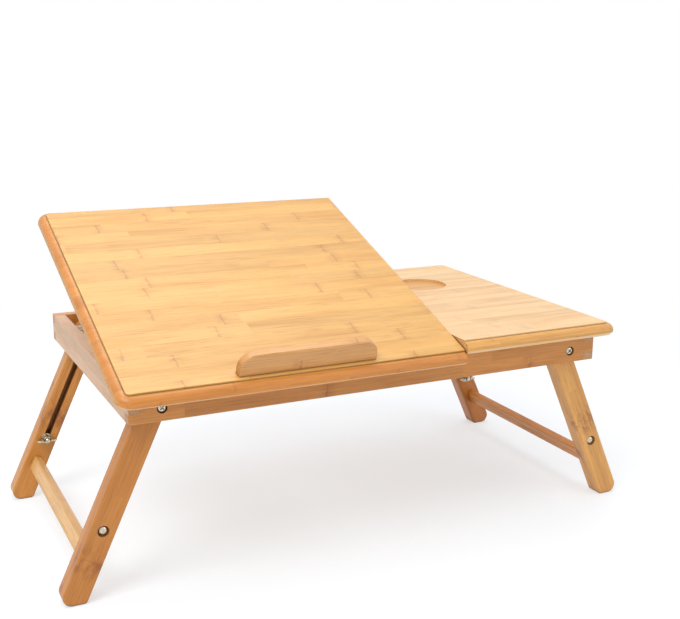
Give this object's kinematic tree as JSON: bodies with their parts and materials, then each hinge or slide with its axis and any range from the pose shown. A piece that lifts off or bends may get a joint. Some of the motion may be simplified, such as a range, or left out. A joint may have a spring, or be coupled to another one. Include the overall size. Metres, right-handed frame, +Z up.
{
  "type": "laptop stand with drawer",
  "caption": "Folding bamboo lap desk: a tilting laptop panel with a ledge beside a fixed shelf with a cup recess and drawer, on splayed legs that fold and lengthen.",
  "frame": {"origin": "on the floor under the middle of the top, legs standing and short, panel at the pictured tilt", "axes": "+X to the right, the drawer's side; +Y to the back, away from the user; +Z up"},
  "size_m": [0.646, 0.3631, 0.3242],
  "materials": {
    "panel_bamboo": "satin lacquer",
    "shelf_bamboo": "satin lacquer",
    "ledge_bamboo": "satin lacquer",
    "dowel_beech": "plain",
    "apron_bamboo": "satin lacquer",
    "inner_bamboo": "plain",
    "leg_bamboo": "satin lacquer",
    "extension_bamboo": "satin lacquer",
    "stretcher_bamboo": "satin lacquer",
    "rack_nylon": "moulded",
    "spacer_nylon": "moulded",
    "drawer_plywood": "plain",
    "drawer_bamboo": "satin lacquer",
    "hinge_steel": "zinc plated",
    "prop_steel": "zinc plated",
    "bolt_nickel": "nickel plated",
    "screw_nickel": "nickel plated"
  },
  "bodies": {
    "frame": {"fixed_top": "shelf_bamboo", "front_apron": "apron_bamboo", "rear_apron": "apron_bamboo", "left_apron": "apron_bamboo", "right_front_apron": "apron_bamboo", "right_rear_apron": "apron_bamboo", "divider": "inner_bamboo", "left_rack": "rack_nylon", "right_rack": "rack_nylon", "front_drawer_rail": "inner_bamboo", "rear_drawer_rail": "inner_bamboo", "frame_hinge_leaves": "hinge_steel", "hinge_pins": "hinge_steel", "frame_hinge_screws": "screw_nickel", "rack_screws": "screw_nickel", "leg_pivot_screws": "screw_nickel", "leg_pivot_spacers": "spacer_nylon", "leg_pivot_nuts": "screw_nickel"},
    "panel": {"tilt_top": "panel_bamboo", "panel_hinge_leaves": "hinge_steel", "panel_hinge_screws": "screw_nickel", "prop_brackets": "prop_steel", "bracket_screws": "screw_nickel", "prop_pins": "prop_steel"},
    "prop": {"prop_left_arm": "prop_steel", "prop_right_arm": "prop_steel", "prop_bar": "prop_steel"},
    "ledge_strip": {"ledge": "ledge_bamboo", "ledge_dowels": "dowel_beech"},
    "drawer": {"drawer_front": "drawer_bamboo", "drawer_front_side": "drawer_bamboo", "drawer_rear_side": "drawer_bamboo", "drawer_back": "drawer_bamboo", "drawer_bottom": "drawer_plywood", "drawer_knob": "drawer_bamboo", "knob_screw": "screw_nickel"},
    "left_legs": {"left_front_leg": "leg_bamboo", "left_rear_leg": "leg_bamboo", "left_clamp_bolts": "bolt_nickel", "left_clamp_washers": "bolt_nickel"},
    "left_extension": {"left_front_extension": "extension_bamboo", "left_rear_extension": "extension_bamboo", "left_stretcher": "stretcher_bamboo", "left_stretcher_screws": "screw_nickel"},
    "left_front_nut": {"left_front_wing_nut": "bolt_nickel"},
    "left_rear_nut": {"left_rear_wing_nut": "bolt_nickel"},
    "right_legs": {"right_front_leg": "leg_bamboo", "right_rear_leg": "leg_bamboo", "right_clamp_bolts": "bolt_nickel", "right_clamp_washers": "bolt_nickel"},
    "right_extension": {"right_front_extension": "extension_bamboo", "right_rear_extension": "extension_bamboo", "right_stretcher": "stretcher_bamboo", "right_stretcher_screws": "screw_nickel"},
    "right_front_nut": {"right_front_wing_nut": "bolt_nickel"},
    "right_rear_nut": {"right_rear_wing_nut": "bolt_nickel"}
  },
  "joints": [
    {"name": "panel_tilt", "type": "hinge", "parent": "frame", "child": "panel", "pos_m": [0, -0.147, 0.2015], "axis": [1, 0, 0], "range_deg": [-19.4, 14.55]},
    {"name": "prop_swing", "type": "hinge", "parent": "panel", "child": "prop", "pos_m": [0, -0.0235, 0.24519], "axis": [1, 0, 0], "range_deg": [-29.2, 38.9]},
    {"name": "ledge_lift", "type": "slide", "parent": "panel", "child": "ledge_strip", "axis": [0, -0.3335, 0.9427], "range_m": [0, 0.02]},
    {"name": "drawer_slide", "type": "slide", "parent": "frame", "child": "drawer", "axis": [1, 0, 0], "range_m": [0, 0.115]},
    {"name": "left_legs_fold", "type": "hinge", "parent": "frame", "child": "left_legs", "pos_m": [-0.22887, 0, 0.188], "axis": [0, -1, 0], "range_deg": [0, 111.2]},
    {"name": "left_legs_lengthen", "type": "slide", "parent": "left_legs", "child": "left_extension", "axis": [0.4147, 0, 0.91], "range_m": [-0.098, 0]},
    {"name": "left_front_nut_turn", "type": "hinge", "parent": "left_legs", "child": "left_front_nut", "pos_m": [-0.28278, 0, 0.06971], "axis": [0, 1, 0], "continuous": true},
    {"name": "left_rear_nut_turn", "type": "hinge", "parent": "left_legs", "child": "left_rear_nut", "pos_m": [-0.28278, 0, 0.06971], "axis": [0, 1, 0], "continuous": true},
    {"name": "right_legs_fold", "type": "hinge", "parent": "frame", "child": "right_legs", "pos_m": [0.22887, 0, 0.188], "axis": [0, 1, 0], "range_deg": [0, 111.2]},
    {"name": "right_legs_lengthen", "type": "slide", "parent": "right_legs", "child": "right_extension", "axis": [-0.4147, 0, 0.91], "range_m": [-0.098, 0]},
    {"name": "right_front_nut_turn", "type": "hinge", "parent": "right_legs", "child": "right_front_nut", "pos_m": [0.28278, 0, 0.06971], "axis": [0, 1, 0], "continuous": true},
    {"name": "right_rear_nut_turn", "type": "hinge", "parent": "right_legs", "child": "right_rear_nut", "pos_m": [0.28278, 0, 0.06971], "axis": [0, 1, 0], "continuous": true}
  ],
  "couplings": [
    {"joint": "prop_swing", "follows": "panel_tilt", "ratio": -2}
  ]
}
